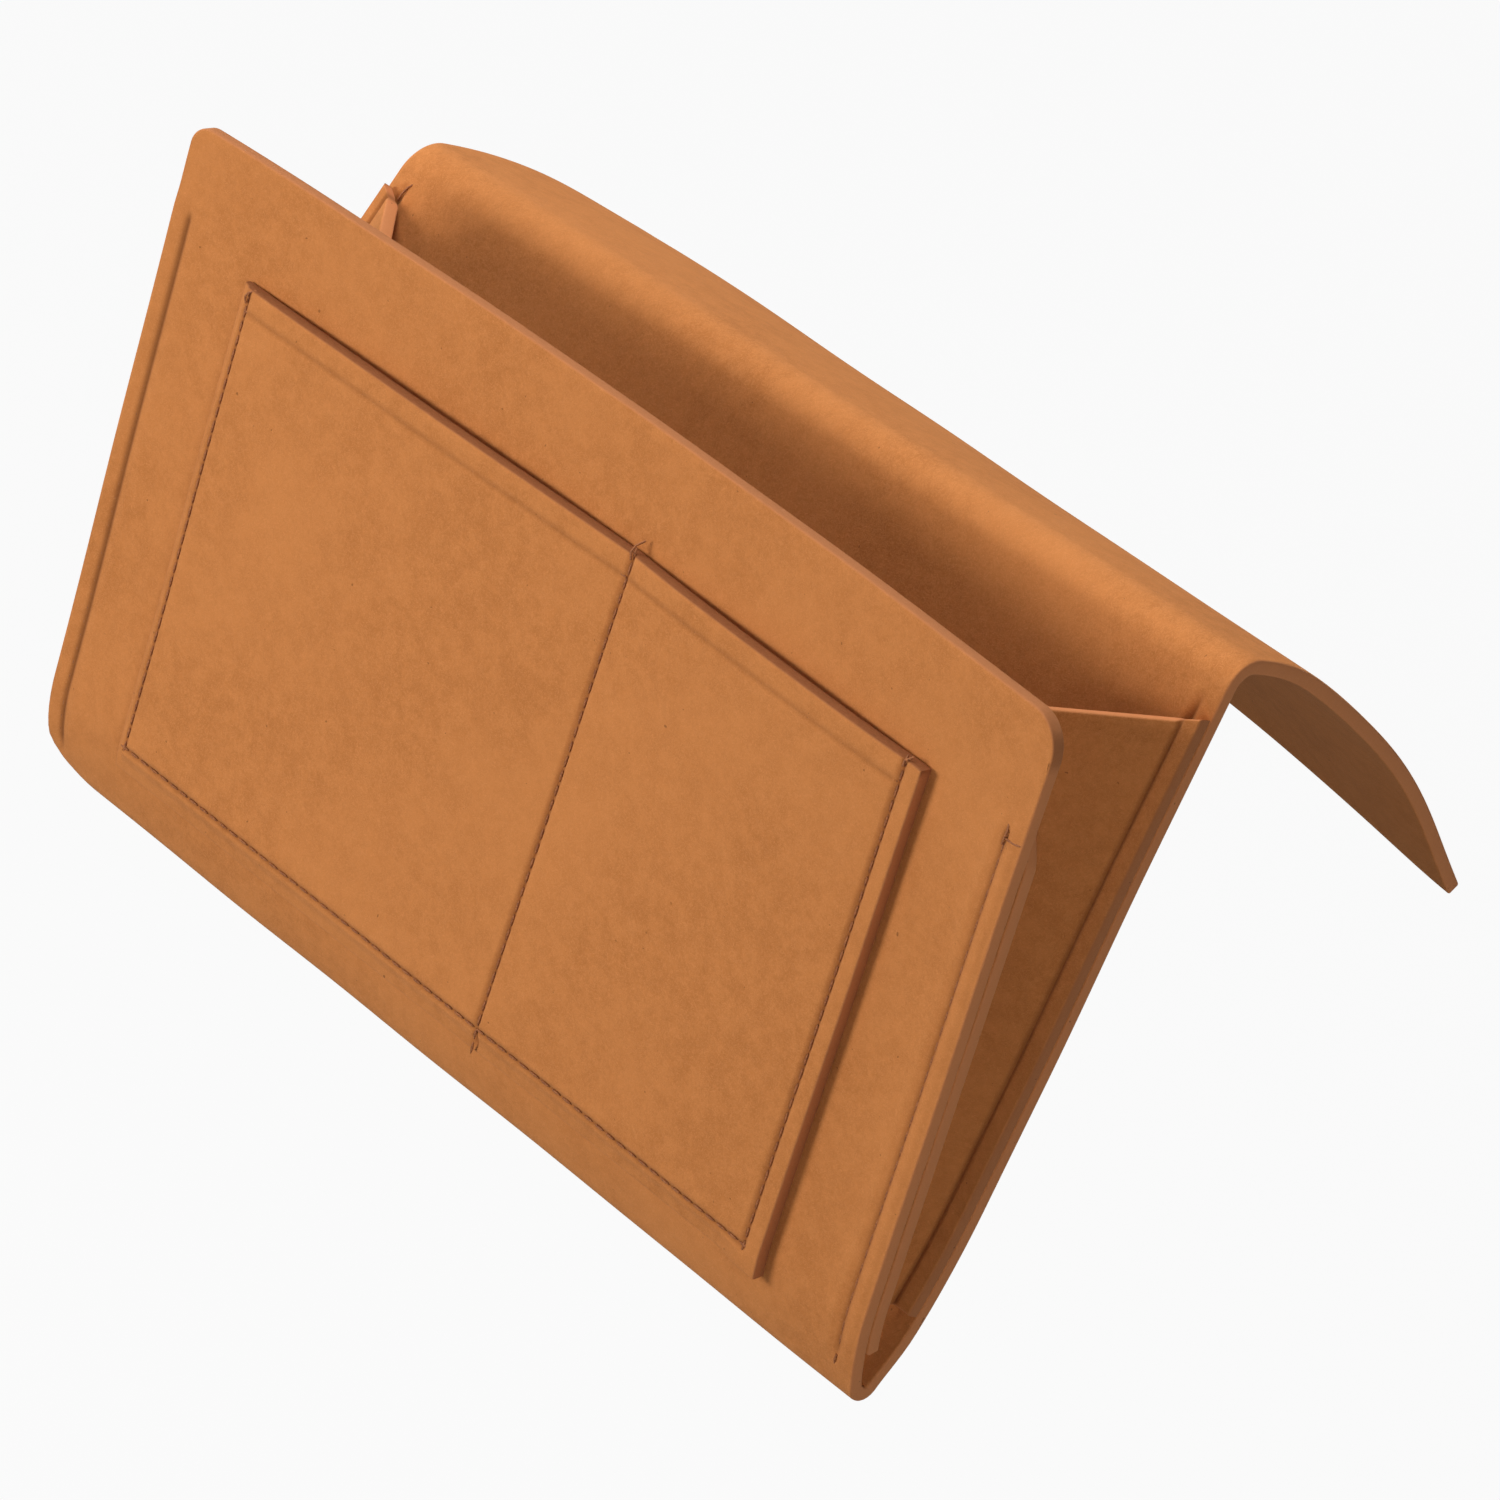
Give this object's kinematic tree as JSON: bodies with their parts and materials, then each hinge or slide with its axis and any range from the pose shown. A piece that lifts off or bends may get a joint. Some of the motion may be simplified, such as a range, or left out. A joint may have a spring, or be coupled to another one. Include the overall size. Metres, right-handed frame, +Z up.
{
  "type": "bedside caddy",
  "caption": "Folded felt bedside caddy with a flap that tucks under the mattress, pleated side gussets and a divided patch pocket on the front.",
  "frame": {"origin": "middle of the line over the edge of the bed along which the tuck flap bends, in the middle of the felt", "axes": "+Z up, +Y towards the bed, along which the tuck flap reaches, +X along the caddy's width, to the right seen from its front"},
  "size_m": [0.32, 0.2438, 0.2066],
  "materials": {
    "felt": "matt pressed felt",
    "pocket_felt": "matt pressed felt"
  },
  "bodies": {
    "back": {"back_panel": "felt", "left_gusset": "felt", "right_gusset": "felt"},
    "front": {"front_panel": "felt", "pocket_panel": "pocket_felt"},
    "flap": {"tuck_flap": "felt"}
  },
  "joints": [
    {"name": "front_fold", "type": "hinge", "parent": "back", "child": "front", "pos_m": [0, -0.0248, -0.19248], "axis": [1, 0, 0], "range_deg": [-11, 14], "deforming": ["left_gusset", "right_gusset"]},
    {"name": "flap_fold", "type": "hinge", "parent": "back", "child": "flap", "pos_m": [0, 0, 0], "axis": [0.9951, -0.0849, 0.0508], "range_deg": [-60, 90]}
  ]
}
